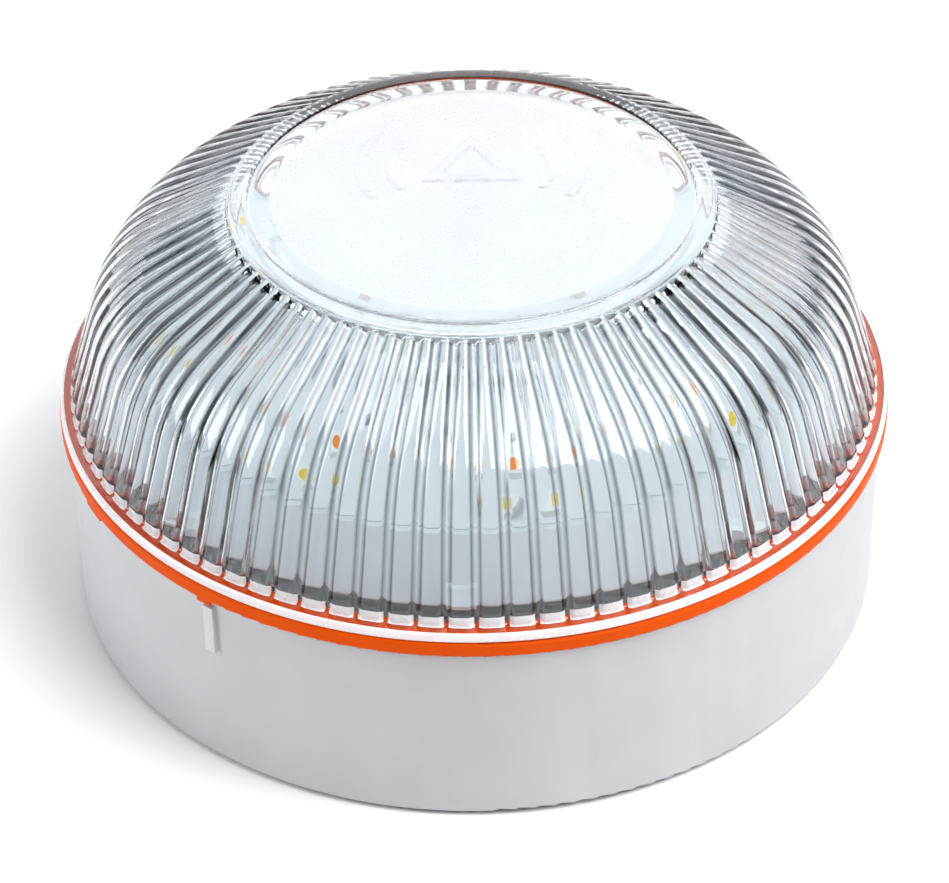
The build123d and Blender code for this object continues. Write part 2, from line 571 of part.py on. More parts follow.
with BuildPart() as board_screws:
    with BuildSketch(Plane.XY.offset(BOARD_TOP)):
        with PolarLocations(POST_CIRCLE, POST_COUNT, start_angle=POST_START):
            Circle(BOARD_SCREW_HEAD)
    extrude(amount=SCREW_HEAD_HEIGHT)
    with BuildSketch(Plane.XY.offset(BOARD_TOP)):
        with PolarLocations(POST_CIRCLE, POST_COUNT, start_angle=POST_START):
            Circle(SCREW_RADIUS)
    extrude(amount=-SCREW_LENGTH)
    with BuildSketch(Plane.XY.offset(BOARD_TOP + SCREW_HEAD_HEIGHT)):
        with PolarLocations(POST_CIRCLE, POST_COUNT, start_angle=POST_START):
            Rectangle(BOARD_SCREW_HEAD + 0.3, SCREW_SLOT[0])
            Rectangle(SCREW_SLOT[0], BOARD_SCREW_HEAD + 0.3)
    extrude(amount=-SCREW_SLOT[1], mode=Mode.SUBTRACT)

board_screws.part.label = "board_screws"
export_step(board_screws.part, "parts/board_screws.step")

# white and amber lamps: a square package with a round cup, and the phosphor fill in the cup
CUP_RADIUS = 1.15
CUP_DEPTH = 0.4
LAMP_TOP = BOARD_TOP + LAMP_HEIGHT

for lamp, circle in (("white_led", WHITE_LAMP_RADIUS), ("amber_led", AMBER_LAMP_RADIUS)):
    with BuildPart() as packages:
        with BuildSketch(Plane.XY.offset(BOARD_TOP)):
            with PolarLocations(circle, LAMP_PAIRS, start_angle=LAMP_START):
                Rectangle(LAMP_LENGTH, LAMP_WIDTH)
        extrude(amount=LAMP_HEIGHT)
        with BuildSketch(Plane.XY.offset(LAMP_TOP)):
            with PolarLocations(circle, LAMP_PAIRS, start_angle=LAMP_START):
                Circle(CUP_RADIUS)
        extrude(amount=-CUP_DEPTH, mode=Mode.SUBTRACT)

    packages.part.label = lamp + "_packages"
    export_step(packages.part, "parts/" + lamp + "_packages.step")

    with BuildPart() as phosphors:
        with BuildSketch(Plane.XY.offset(LAMP_TOP - CUP_DEPTH)):
            with PolarLocations(circle, LAMP_PAIRS, start_angle=LAMP_START):
                Circle(CUP_RADIUS)
        extrude(amount=CUP_DEPTH)

    phosphors.part.label = lamp + "_phosphors"
    export_step(phosphors.part, "parts/" + lamp + "_phosphors.step")

# torch lamps: three packages with silicone domes, under the frosted window
TORCH_COUNT = 3
TORCH_START = 30
TORCH_SIZE = 3.5
TORCH_HEIGHT = 0.7
TORCH_DOME = 1.3

with BuildPart() as torch_led_packages:
    with BuildSketch(Plane.XY.offset(BOARD_TOP)):
        with PolarLocations(TORCH_LAMP_RADIUS, TORCH_COUNT, start_angle=TORCH_START):
            Rectangle(TORCH_SIZE, TORCH_SIZE)
    extrude(amount=TORCH_HEIGHT)

torch_led_packages.part.label = "torch_led_packages"
export_step(torch_led_packages.part, "parts/torch_led_packages.step")

with BuildPart() as torch_led_domes:
    with PolarLocations(TORCH_LAMP_RADIUS, TORCH_COUNT, start_angle=TORCH_START):
        with Locations((0, 0, BOARD_TOP + TORCH_HEIGHT)):
            Sphere(TORCH_DOME, arc_size1=0, align=(Align.CENTER, Align.CENTER, Align.MIN))

torch_led_domes.part.label = "torch_led_domes"
export_step(torch_led_domes.part, "parts/torch_led_domes.step")

# chips on the board: small parts on top, the controller and the tall parts below; sizes are length,
# width and height, and places are on the board
RESISTOR_CIRCLE = 21.5
RESISTOR_SIZE = (0.9, 1.6, 0.5)
CERAMIC_CIRCLE = 13.0
CERAMIC_COUNT = 6
CERAMIC_SIZE = (1.25, 2.0, 0.9)
CONTROLLER_PLACE = (-10, 8)
CONTROLLER_SIZE = (5.0, 4.0, 1.5)
CONTROLLER_EDGE = 0.2
LEG_SIZE = (0.45, 1.4, 0.3)
LEG_SPACING = 1.2
LEG_ROWS = 5.2                # between the middles of the two rows of legs
LEGS_A_SIDE = 4
INDUCTOR_PLACE = (11, 9)
INDUCTOR_SIZE = (6.5, 6.5, 3.0)
INDUCTOR_CORNER = 1.2
CAN_PLACE = (6, -14)
CAN_RADIUS = 3.15
CAN_HEIGHT = 4.9
CAN_EDGE = 0.4

with BuildPart() as chip_resistors:
    with BuildSketch(Plane.XY.offset(BOARD_TOP)):
        with PolarLocations(RESISTOR_CIRCLE, LAMP_PAIRS, start_angle=LAMP_START):
            Rectangle(*RESISTOR_SIZE[:2])
    extrude(amount=RESISTOR_SIZE[2])

chip_resistors.part.label = "chip_resistors"
export_step(chip_resistors.part, "parts/chip_resistors.step")

with BuildPart() as chip_capacitors:
    with BuildSketch(Plane.XY.offset(BOARD_TOP)):
        with PolarLocations(CERAMIC_CIRCLE, CERAMIC_COUNT):
            Rectangle(*CERAMIC_SIZE[:2])
    extrude(amount=CERAMIC_SIZE[2])

chip_capacitors.part.label = "chip_capacitors"
export_step(chip_capacitors.part, "parts/chip_capacitors.step")

with BuildPart() as controller_chip:
    with BuildSketch(Plane.XY.offset(BOARD_BOTTOM)):
        with Locations(CONTROLLER_PLACE):
            Rectangle(*CONTROLLER_SIZE[:2])
    extrude(amount=-CONTROLLER_SIZE[2])
    chamfer(controller_chip.edges().group_by(Axis.Z)[0], length=CONTROLLER_EDGE)
    with BuildSketch(Plane.XY.offset(BOARD_BOTTOM)):
        with Locations(CONTROLLER_PLACE):
            with GridLocations(LEG_SPACING, LEG_ROWS, LEGS_A_SIDE, 2):
                Rectangle(*LEG_SIZE[:2])
    extrude(amount=-LEG_SIZE[2])

controller_chip.part.label = "controller_chip"
export_step(controller_chip.part, "parts/controller_chip.step")

with BuildPart() as power_inductor:
    with BuildSketch(Plane.XY.offset(BOARD_BOTTOM)):
        with Locations(INDUCTOR_PLACE):
            RectangleRounded(*INDUCTOR_SIZE[:2], INDUCTOR_CORNER)
    extrude(amount=-INDUCTOR_SIZE[2])

power_inductor.part.label = "power_inductor"
export_step(power_inductor.part, "parts/power_inductor.step")

with BuildPart() as storage_capacitor:
    with BuildSketch(Plane.XY.offset(BOARD_BOTTOM)):
        with Locations(CAN_PLACE):
            Circle(CAN_RADIUS)
    extrude(amount=-CAN_HEIGHT)
    fillet(storage_capacitor.edges().group_by(Axis.Z)[0], radius=CAN_EDGE)

storage_capacitor.part.label = "storage_capacitor"
export_step(storage_capacitor.part, "parts/storage_capacitor.step")

# switch_body and switch_frame: push switch under the board, worked from below by the stem
SWITCH_BOTTOM = 26.0
SWITCH_SIZE = 11.0
SWITCH_CORNER = 0.6
SWITCH_BORE = 2.6             # depth of the bore that the stem slides in
FRAME_THICKNESS = 0.4
FRAME_EAR = (5.0, 2.4)        # width and height of the frame's two ears
STEM_RADIUS = 1.5

with BuildPart() as switch_body:
    with BuildSketch(Plane.XY.offset(BOARD_BOTTOM)):
        RectangleRounded(SWITCH_SIZE, SWITCH_SIZE, SWITCH_CORNER)
    extrude(amount=SWITCH_BOTTOM + FRAME_THICKNESS - BOARD_BOTTOM)
    with BuildSketch(Plane.XY.offset(SWITCH_BOTTOM + FRAME_THICKNESS)):
        Circle(STEM_RADIUS + FIT)
    extrude(amount=SWITCH_BORE, mode=Mode.SUBTRACT)

switch_body.part.label = "switch_body"
export_step(switch_body.part, "parts/switch_body.step")

with BuildPart() as switch_frame:
    with BuildSketch(Plane.XY.offset(SWITCH_BOTTOM)):
        Rectangle(SWITCH_SIZE, SWITCH_SIZE)
        Circle(STEM_RADIUS + FIT, mode=Mode.SUBTRACT)
    extrude(amount=FRAME_THICKNESS)
    with BuildSketch(Plane.XY.offset(SWITCH_BOTTOM)):
        with GridLocations(SWITCH_SIZE + FRAME_THICKNESS, 0, 2, 1):
            Rectangle(FRAME_THICKNESS, FRAME_EAR[0])
    extrude(amount=FRAME_EAR[1])

switch_frame.part.label = "switch_frame"
export_step(switch_frame.part, "parts/switch_frame.step")

# battery_case and battery_terminals: 9 V block lying flat below the deck
BATTERY_MIDDLE = (BATTERY_BACK_END + BATTERY_LENGTH / 2, BATTERY_SIDE + BATTERY_WIDTH / 2)
BATTERY_FRONT_END = BATTERY_BACK_END + BATTERY_LENGTH
BATTERY_EDGE = 2.0
STUD_RADIUS = 2.85            # positive terminal
SOCKET_RADIUS = 4.2           # corners of the six-sided negative terminal
TERMINAL_LEVEL = BATTERY_BOTTOM + BATTERY_HEIGHT / 2

with BuildPart() as battery_case:
    with BuildSketch(Plane.XY.offset(BATTERY_BOTTOM)):
        with Locations(BATTERY_MIDDLE):
            Rectangle(BATTERY_LENGTH, BATTERY_WIDTH)
    extrude(amount=BATTERY_HEIGHT)
    fillet(battery_case.edges().filter_by(Axis.X), radius=BATTERY_EDGE)

battery_case.part.label = "battery_case"
export_step(battery_case.part, "parts/battery_case.step")

with BuildPart() as battery_terminals:
    with BuildSketch(Plane.YZ.offset(BATTERY_FRONT_END)):
        with Locations((POSITIVE_Y, TERMINAL_LEVEL)):
            Circle(STUD_RADIUS)
        with Locations((NEGATIVE_Y, TERMINAL_LEVEL)):
            RegularPolygon(radius=SOCKET_RADIUS, side_count=6)
    extrude(amount=TERMINAL_HEIGHT)

battery_terminals.part.label = "battery_terminals"
export_step(battery_terminals.part, "parts/battery_terminals.step")

# battery_pad: foam strip between battery and deck
PAD_SIZE = (30, 16)
PAD_CORNER = 1.0

with BuildPart() as battery_pad:
    with BuildSketch(Plane.XY.offset(BATTERY_BOTTOM + BATTERY_HEIGHT)):
        with Locations(BATTERY_MIDDLE):
            RectangleRounded(*PAD_SIZE, PAD_CORNER)
    extrude(amount=DECK_BOTTOM - BATTERY_BOTTOM - BATTERY_HEIGHT)

battery_pad.part.label = "battery_pad"
export_step(battery_pad.part, "parts/battery_pad.step")

# contact strips: a leaf against each terminal and a narrow tab up through the deck to the board
LEAF_BOTTOM = 10.5
LEAF_TOP = 22.8
LEAF_WIDTH = 5.0
TAB_FOOT = LEAF_TOP - 1.0     # the tab starts inside the leaf

for pole, leaf_y, tab_y in (("positive", POSITIVE_Y, TAB_Y[0]), ("negative", NEGATIVE_Y, TAB_Y[1])):
    with BuildPart() as contact:
        with BuildSketch(Plane.YZ.offset(STRIP_X)):
            with Locations((leaf_y, LEAF_BOTTOM)):
                Rectangle(LEAF_WIDTH, LEAF_TOP - LEAF_BOTTOM, align=(Align.CENTER, Align.MIN))
            with Locations((tab_y, TAB_FOOT)):
                Rectangle(TAB_WIDTH, BOARD_BOTTOM - TAB_FOOT, align=(Align.CENTER, Align.MIN))
        extrude(amount=STRIP_THICKNESS)

    contact.part.label = "contact_" + pole
    export_step(contact.part, "parts/contact_" + pole + ".step")

# ================================ switch stem body ===============================================

# switch_stem: rests on the plunger rod and slides in the switch
STEM_BOTTOM = ROD_TOP + 0.05
STEM_CAP_TOP = STEM_BOTTOM + 0.95
STEM_CAP_RADIUS = 2.2
STEM_TOP = 27.0

with BuildPart() as switch_stem:
    with BuildSketch(Plane.XY.offset(STEM_BOTTOM)):
        Circle(STEM_CAP_RADIUS)
    extrude(amount=STEM_CAP_TOP - STEM_BOTTOM)
    with BuildSketch(Plane.XY.offset(STEM_CAP_TOP)):
        Circle(STEM_RADIUS)
    extrude(amount=STEM_TOP - STEM_CAP_TOP)

switch_stem.part.label = "switch_stem"
export_step(switch_stem.part, "parts/switch_stem.step")
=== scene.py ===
import json
from math import atan2, cos, hypot, pi, radians, sin, sqrt

import bpy
from mathutils import Matrix, Vector


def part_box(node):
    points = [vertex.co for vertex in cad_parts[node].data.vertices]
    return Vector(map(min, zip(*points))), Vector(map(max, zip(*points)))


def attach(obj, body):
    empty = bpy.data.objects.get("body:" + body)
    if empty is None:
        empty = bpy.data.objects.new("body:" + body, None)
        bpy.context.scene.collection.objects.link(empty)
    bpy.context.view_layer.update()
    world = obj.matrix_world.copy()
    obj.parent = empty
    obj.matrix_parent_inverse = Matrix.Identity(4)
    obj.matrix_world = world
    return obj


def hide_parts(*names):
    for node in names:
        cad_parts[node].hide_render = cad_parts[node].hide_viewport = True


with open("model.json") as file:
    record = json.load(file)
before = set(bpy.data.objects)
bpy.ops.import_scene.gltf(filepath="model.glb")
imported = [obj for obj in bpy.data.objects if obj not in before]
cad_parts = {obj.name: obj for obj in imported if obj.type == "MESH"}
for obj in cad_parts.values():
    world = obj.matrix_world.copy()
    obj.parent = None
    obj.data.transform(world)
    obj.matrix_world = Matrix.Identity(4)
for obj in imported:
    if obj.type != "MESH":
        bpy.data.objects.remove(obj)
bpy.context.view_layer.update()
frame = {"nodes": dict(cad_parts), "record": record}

MM = 0.001

# ---- sizes that the frame gives, in metres -------------------------------------------------------
cover_low, cover_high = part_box("lens_cover")
RING_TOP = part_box("seal_ring")[1].z
FLANGE_RADIUS = cover_high.x
COVER_TOP = cover_high.z
SKIRT_BOTTOM = cover_low.z

# ---- the dome's outline --------------------------------------------------------------------------
DOME_CORNER = (41.6 * MM, 41.9 * MM)     # where the lines of wall and roof would meet
WALL_NORMAL = radians(17.3)              # the wall leans in, and its normal points up by this much
ROOF_NORMAL = radians(90 - 29.1)
SHOULDER = 15.2 * MM                     # radius of the round shoulder
COVER_WALL = 2.2 * MM
ROOF_RIM = 27.3 * MM                     # the ribs end here
FROST_RADIUS = 22.2 * MM
RIBS = 90
GROOVE_DEPTH = 0.55 * MM                 # round grooves part the ribs
GROOVE_HALF = 0.86 * MM                  # half the width of a groove
GROOVE_STEPS = (0.0, 0.3, 0.55, 0.8, 1.0)
GROOVE_RUNOUT = 0.7 * MM                 # over which a groove fades out at its ends
FLANGE_BOTTOM = RING_TOP - 0.02 * MM     # pressed into the soft orange ring, so that its colour shows
FLANGE_TOP = RING_TOP + 1.0 * MM
FOOT = RING_TOP + 2.2 * MM               # the leaning wall stands on nearly upright feet, one to a rib
FEET_LEAN = 0.14 * MM                    # how much wider the feet are at the flange
SHELF_TOP = 26.3 * MM
SKIRT_INSIDE = 42.4 * MM
SKIRT_OUTSIDE = 43.6 * MM
LUG_OUTSIDE = 44.7 * MM
LUG_TOP = 20.0 * MM
LUG_ANGLES = (-90, 30, 150)
LUG_HALF = 8                             # degrees on each side of a lug's middle
PICTOGRAM_PROUD = 0.2 * MM
CROWN = COVER_TOP - PICTOGRAM_PROUD      # top of the window itself
WINDOW_FALL = 0.33 * MM                  # from the middle of the window to the frosted face's edge


# ================================ camera and lights ==============================================

def add_camera():
    """The photograph's view: 37 degrees down on the front, with a long lens."""
    data = bpy.data.cameras.new("camera")
    data.sensor_width = 36.0
    data.lens = 129.0
    camera = bpy.data.objects.new("camera", data)
    bpy.context.scene.collection.objects.link(camera)
    elevation = radians(37.09)
    distance = 0.3990
    aim = Vector((0, 0, 0.31 * COVER_TOP))
    camera.location = aim + distance * Vector((0, -cos(elevation), sin(elevation)))
    camera.rotation_euler = (pi / 2 - elevation, 0, 0)
    camera.rotation_euler.rotate_axis("Z", radians(-0.7))
    bpy.context.scene.camera = camera


def add_softbox(name, place, aim, width, height, power, colour=(1, 1, 1), across=None):
    """A rectangular lamp that faces a point; across is the direction that its width runs in."""
    data = bpy.data.lights.new(name, "AREA")
    data.shape = "RECTANGLE"
    data.size = width
    data.size_y = height
    data.energy = power
    data.color = colour
    lamp = bpy.data.objects.new(name, data)
    bpy.context.scene.collection.objects.link(lamp)
    back = (Vector(place) - Vector(aim)).normalized()
    side = Vector(across) if across else Vector((0, 0, 1)).cross(back)
    side = (side - side.dot(back) * back).normalized()
    up = back.cross(side)
    lamp.matrix_world = Matrix((side, up, back)).transposed().to_4x4()
    lamp.location = place


def add_studio():
    """A large softbox over the right shoulder, one at the left and a wide one behind, over a pale floor."""
    centre = (0, 0, 0.035)
    add_softbox("box_over", (0.34, -0.16, 0.61), centre, 0.56, 0.50, 6.6, across=(0.82, 0.44, -0.37))
    add_softbox("box_left", (-0.66, -0.10, 0.34), centre, 0.34, 0.40, 2.6, (0.96, 0.98, 1.0))
    add_softbox("box_back", (0.0, 0.85, 0.45), centre, 1.3, 0.55, 2.8)
    bpy.context.scene.world = studio_world()
    mesh = bpy.data.meshes.new("floor")
    reach = 4.0
    corners = [(-reach, -reach, 0), (reach, -reach, 0), (reach, reach, 0), (-reach, reach, 0)]
    mesh.from_pydata(corners, [], [(0, 1, 2, 3)])
    floor = bpy.data.objects.new("floor", mesh)
    bpy.context.scene.collection.objects.link(floor)
    mesh.materials.append(floor_material())


def studio_world():
    """A pale room behind the object that darkens towards the front of it."""
    world = bpy.data.worlds.new("studio")
    world.use_nodes = True
    nodes = world.node_tree.nodes
    links = world.node_tree.links
    background = nodes["Background"]
    direction = nodes.new("ShaderNodeTexCoord")
    split = nodes.new("ShaderNodeSeparateXYZ")
    links.new(direction.outputs["Generated"], split.inputs["Vector"])
    tone = nodes.new("ShaderNodeMapRange")
    tone.inputs["From Min"].default_value = 0.0
    tone.inputs["From Max"].default_value = 0.9
    tone.inputs["To Min"].default_value = 0.12
    tone.inputs["To Max"].default_value = 0.75
    links.new(split.outputs["Y"], tone.inputs["Value"])
    background.inputs["Color"].default_value = (0.90, 0.94, 1.0, 1)
    links.new(tone.outputs["Result"], background.inputs["Strength"])
    return world


# ================================ materials ======================================================

class Surface:
    """A material with short calls for the nodes that every surface here uses."""

    def __init__(self, name):
        self.material = bpy.data.materials.new(name)
        self.material.use_nodes = True
        self.tree = self.material.node_tree
        self.shader = self.tree.nodes["Principled BSDF"]
        self.output = self.tree.nodes["Material Output"]
        coordinates = self.node("ShaderNodeTexCoord")
        self.where = coordinates.outputs["Object"]
        self.normal = coordinates.outputs["Normal"]

    def node(self, kind, **settings):
        made = self.tree.nodes.new(kind)
        for key, value in settings.items():
            setattr(made, key, value)
        return made

    def link(self, source, target):
        self.tree.links.new(source, target)

    def set(self, **values):
        for key, value in values.items():
            self.shader.inputs[key.replace("_", " ")].default_value = value

    def noise(self, size, detail=3.0, rough=0.55, stretch=(1, 1, 1)):
        """Noise whose features are about size metres across, 0 to 1."""
        mapping = self.node("ShaderNodeMapping")
        mapping.inputs["Scale"].default_value = stretch
        self.link(self.where, mapping.inputs["Vector"])
        noise = self.node("ShaderNodeTexNoise")
        noise.inputs["Scale"].default_value = 1 / size
        noise.inputs["Detail"].default_value = detail
        noise.inputs["Roughness"].default_value = rough
        self.link(mapping.outputs["Vector"], noise.inputs["Vector"])
        return noise.outputs["Fac"]

    def span(self, value, low, high, start=0.3, end=0.7):
        """Maps start..end of a value to low..high."""
        rng = self.node("ShaderNodeMapRange")
        rng.inputs["From Min"].default_value = start
        rng.inputs["From Max"].default_value = end
        rng.inputs["To Min"].default_value = low
        rng.inputs["To Max"].default_value = high
        self.link(value, rng.inputs["Value"])
        return rng.outputs["Result"]

    def blend(self, factor, first, second):
        """Colour between two colours or colour outputs."""
        mix = self.node("ShaderNodeMix", data_type="RGBA")
        self.link(factor, mix.inputs[0])
        for socket, colour in ((mix.inputs[6], first), (mix.inputs[7], second)):
            if isinstance(colour, tuple):
                socket.default_value = (*colour, 1)
            else:
                self.link(colour, socket)
        return mix.outputs[2]

    def bump(self, height, distance, strength=1.0, normal=None):
        bump = self.node("ShaderNodeBump")
        bump.inputs["Distance"].default_value = distance
        bump.inputs["Strength"].default_value = strength
        self.link(height, bump.inputs["Height"])
        if normal is not None:
            self.link(normal, bump.inputs["Normal"])
        return bump.outputs["Normal"]

    def sideways(self):
        """How far the surface leans round the axis: 0 on a plain lathe shape, high on a groove's flank."""
        split = self.node("ShaderNodeSeparateXYZ")
        self.link(self.where, split.inputs["Vector"])
        back = self.node("ShaderNodeMath", operation="MULTIPLY")
        back.inputs[1].default_value = -1.0
        self.link(split.outputs["Y"], back.inputs[0])
        round_axis = self.node("ShaderNodeCombineXYZ")
        self.link(back.outputs["Value"], round_axis.inputs["X"])
        self.link(split.outputs["X"], round_axis.inputs["Y"])
        unit = self.node("ShaderNodeVectorMath", operation="NORMALIZE")
        self.link(round_axis.outputs["Vector"], unit.inputs[0])
        dot = self.node("ShaderNodeVectorMath", operation="DOT_PRODUCT")
        self.link(unit.outputs["Vector"], dot.inputs[0])
        self.link(self.normal, dot.inputs[1])
        size = self.node("ShaderNodeMath", operation="ABSOLUTE")
        self.link(dot.outputs["Value"], size.inputs[0])
        return size.outputs["Value"]

    def edges(self):
        """1 on sharp outer edges, 0 elsewhere."""
        geometry = self.node("ShaderNodeNewGeometry")
        return self.span(geometry.outputs["Pointiness"], 0.0, 1.0, 0.54, 0.62)


def shade(colour, factor):
    return tuple(channel * factor for channel in colour)


def moulded(name, colour, rough=0.42, grain=0.12 * MM, depth=0.004 * MM, specular=0.5, coat=0.0):
    """Injection-moulded plastic: slow colour drift, spark-eroded grain, paler handled edges."""
    s = Surface(name)
    drift = s.noise(9 * MM, 4.0)
    tinted = s.blend(s.span(drift, 0, 1), shade(colour, 0.965), shade(colour, 1.02))
    worn = s.blend(s.edges(), tinted, tuple(min(1.0, c * 0.6 + 0.36) for c in colour))
    s.link(worn, s.shader.inputs["Base Color"])
    s.link(s.span(s.noise(3 * MM, 5.0), rough - 0.05, rough + 0.07), s.shader.inputs["Roughness"])
    fine = s.bump(s.noise(grain, 2.0), depth, 0.6)
    s.link(fine, s.shader.inputs["Normal"])
    s.set(IOR=1.5)
    s.shader.inputs["Specular IOR Level"].default_value = specular
    if coat:
        s.shader.inputs["Coat Weight"].default_value = coat
        s.shader.inputs["Coat Roughness"].default_value = 0.12
    return s


def metal(name, colour, rough=0.28, brush=(1, 1, 14)):
    """Drawn or plated metal: stretched scratches in roughness and bump, dull spots."""
    s = Surface(name)
    tone = s.noise(2.5 * MM, 4.0)
    tinted = s.blend(s.span(tone, 0, 1), shade(colour, 0.86), colour)
    s.link(tinted, s.shader.inputs["Base Color"])
    scratches = s.noise(0.5 * MM, 3.0, 0.6, brush)
    s.link(s.span(scratches, rough - 0.08, rough + 0.14), s.shader.inputs["Roughness"])
    s.link(s.bump(scratches, 0.003 * MM, 0.5), s.shader.inputs["Normal"])
    s.set(Metallic=1.0)
    return s


def rubber(name, colour, rough=0.5, grain=0.25 * MM, specular=0.5):
    """Soft moulded silicone or elastomer: even colour with a dusty drift and a fine matt skin."""
    s = Surface(name)
    dust = s.noise(4 * MM, 5.0)
    s.link(s.blend(s.span(dust, 0, 1), shade(colour, 0.93), colour), s.shader.inputs["Base Color"])
    s.link(s.span(s.noise(1.4 * MM, 4.0), rough - 0.06, rough + 0.08), s.shader.inputs["Roughness"])
    s.link(s.bump(s.noise(grain, 3.0), 0.006 * MM, 0.5), s.shader.inputs["Normal"])
    s.shader.inputs["Specular IOR Level"].default_value = specular
    return s


def floor_material():
    s = Surface("floor_paper")
    drift = s.noise(60 * MM, 3.0)
    paper = s.blend(s.span(drift, 0, 1), (0.93, 0.93, 0.93), (0.95, 0.95, 0.95))
    s.link(paper, s.shader.inputs["Base Color"])
    s.set(Roughness=0.85)
    s.shader.inputs["Specular IOR Level"].default_value = 0.1
    s.link(s.bump(s.noise(0.6 * MM, 3.0), 0.01 * MM, 0.3), s.shader.inputs["Normal"])
    return s.material


def let_lamps_through(s, share):
    """Light rays that look for a lamp pass the clear plastic straight, so that what is inside is lit."""
    path = s.node("ShaderNodeLightPath")
    clear = s.node("ShaderNodeBsdfTransparent")
    clear.inputs["Color"].default_value = (0.90 * share, 0.96 * share, share, 1)
    mix = s.node("ShaderNodeMixShader")
    s.link(path.outputs["Is Shadow Ray"], mix.inputs["Fac"])
    s.link(s.shader.outputs["BSDF"], mix.inputs[1])
    s.link(clear.outputs["BSDF"], mix.inputs[2])
    s.link(mix.outputs["Shader"], s.output.inputs["Surface"])


def clear_material():
    """Polished clear polycarbonate: faint flow drift, painted shade as dark lines on the grooves' flanks,
    light haze.
    """
    s = Surface("clear_polished")
    drift = s.noise(12 * MM, 3.0)
    body = s.blend(s.span(drift, 0, 1), (0.90, 0.945, 0.965), (0.93, 0.97, 0.985))
    flank_painted_shade = s.span(s.sideways(), 0, 1, 0.44, 0.66)
    # painted shade: the base colour turns dark blue-grey where the surface leans round the axis, on the
    # grooves' flanks
    s.link(s.blend(flank_painted_shade, body, (0.10, 0.115, 0.14)), s.shader.inputs["Base Color"])
    s.link(s.span(s.noise(2 * MM, 4.0), 0.0, 0.035), s.shader.inputs["Roughness"])
    s.link(s.bump(s.noise(1.6 * MM, 2.0), 0.004 * MM, 0.25), s.shader.inputs["Normal"])
    s.set(IOR=1.58)
    s.shader.inputs["Transmission Weight"].default_value = 1.0
    let_lamps_through(s, 0.37)
    return s.material


def frosted_material():
    """The window's spark-eroded face: grainy, half see-through, with a silvery sheen."""
    s = Surface("clear_frosted")
    drift = s.noise(7 * MM, 3.0)
    grain = s.noise(0.22 * MM, 2.0)
    body = s.blend(s.span(drift, 0, 1), (0.90, 0.91, 0.95), (0.97, 0.975, 1.0))
    s.link(body, s.shader.inputs["Base Color"])
    s.link(s.span(grain, 0.26, 0.42), s.shader.inputs["Roughness"])
    s.link(s.bump(grain, 0.03 * MM, 0.7), s.shader.inputs["Normal"])
    s.set(IOR=1.58)
    s.shader.inputs["Transmission Weight"].default_value = 0.75
    let_lamps_through(s, 0.36)
    return s.material


def matt_highlight_material():
    """Matt near-white edge of the flange and feet of the ribs: a painted highlight that stands in for the
    light coming out of the clear plastic there.
    """
    s = Surface("clear_matt_painted_highlight")
    s.link(s.blend(s.span(s.noise(5 * MM, 3.0), 0, 1), (0.86, 0.87, 0.90), (0.95, 0.955, 0.97)),
           s.shader.inputs["Base Color"])
    s.link(s.span(s.noise(2 * MM, 2.0), 0.22, 0.32), s.shader.inputs["Roughness"])
    s.set(IOR=1.58)
    s.shader.inputs["Transmission Weight"].default_value = 0.15
    return s.material


# ================================ meshes =========================================================

def finish_mesh(name, points, faces, body):
    """Makes the object, drops unused points, shades it smooth and puts it on its body."""
    mesh = bpy.data.meshes.new(name)
    mesh.from_pydata(points, [], faces)
    mesh.validate()
    for polygon in mesh.polygons:
        polygon.use_smooth = True
    piece = bpy.data.objects.new(name, mesh)
    bpy.context.scene.collection.objects.link(piece)
    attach(piece, body)
    return piece


SHOULDER_ARC = SHOULDER * (ROOF_NORMAL - WALL_NORMAL)
corner_middle = (WALL_NORMAL + ROOF_NORMAL) / 2
corner_reach = SHOULDER / cos((ROOF_NORMAL - WALL_NORMAL) / 2)
SHOULDER_CENTRE = (DOME_CORNER[0] - corner_reach * cos(corner_middle),
                   DOME_CORNER[1] - corner_reach * sin(corner_middle))


def dome_point(along, depth):
    """(radius, height, normal angle) on the dome's outline, along from where the wall meets the shoulder."""
    if along < 0:
        angle = WALL_NORMAL
        extra = (-along * sin(angle), along * cos(angle))
    elif along < SHOULDER_ARC:
        angle = WALL_NORMAL + along / SHOULDER
        extra = (0, 0)
    else:
        angle = ROOF_NORMAL
        extra = (-(along - SHOULDER_ARC) * sin(angle), (along - SHOULDER_ARC) * cos(angle))
    reach = SHOULDER - depth
    return (SHOULDER_CENTRE[0] + reach * cos(angle) + extra[0],
            SHOULDER_CENTRE[1] + reach * sin(angle) + extra[1], angle)


def wall_along(height, depth):
    """Where along the outline the wall is at a height."""
    start = SHOULDER_CENTRE[1] + (SHOULDER - depth) * sin(WALL_NORMAL)
    return -(start - height) / cos(WALL_NORMAL)


def roof_along(radius, depth):
    """Where along the outline the roof is at a distance from the axis."""
    start = SHOULDER_CENTRE[0] + (SHOULDER - depth) * cos(ROOF_NORMAL)
    return SHOULDER_ARC + (start - radius) / sin(ROOF_NORMAL)


def spread(start, end, count):
    """count values from start up to but not including end."""
    return [start + (end - start) * i / count for i in range(count)]


def quarter(share):
    """Quarter-round rise from 0 to 1."""
    share = min(max(share, 0.0), 1.0)
    return sqrt(1 - (1 - share) ** 2)


def groove(share):
    """How deep a groove is across its half-width, 1 in the middle and 0 at its edge."""
    return (1 + cos(pi * share)) / 2


PICTOGRAM_Y = 5.5 * MM
TRIANGLE_REACH = 5.3 * MM / 2            # from its centre to the middle of a side's stroke
LIGHT_ARCS = (9.0 * MM, 12.5 * MM)
ARC_HALF_SPAN = radians(28)
STROKE = 0.55 * MM                       # half the width of a stroke
STROKE_SLOPE = 0.12 * MM                 # half the width of the slope at its edge


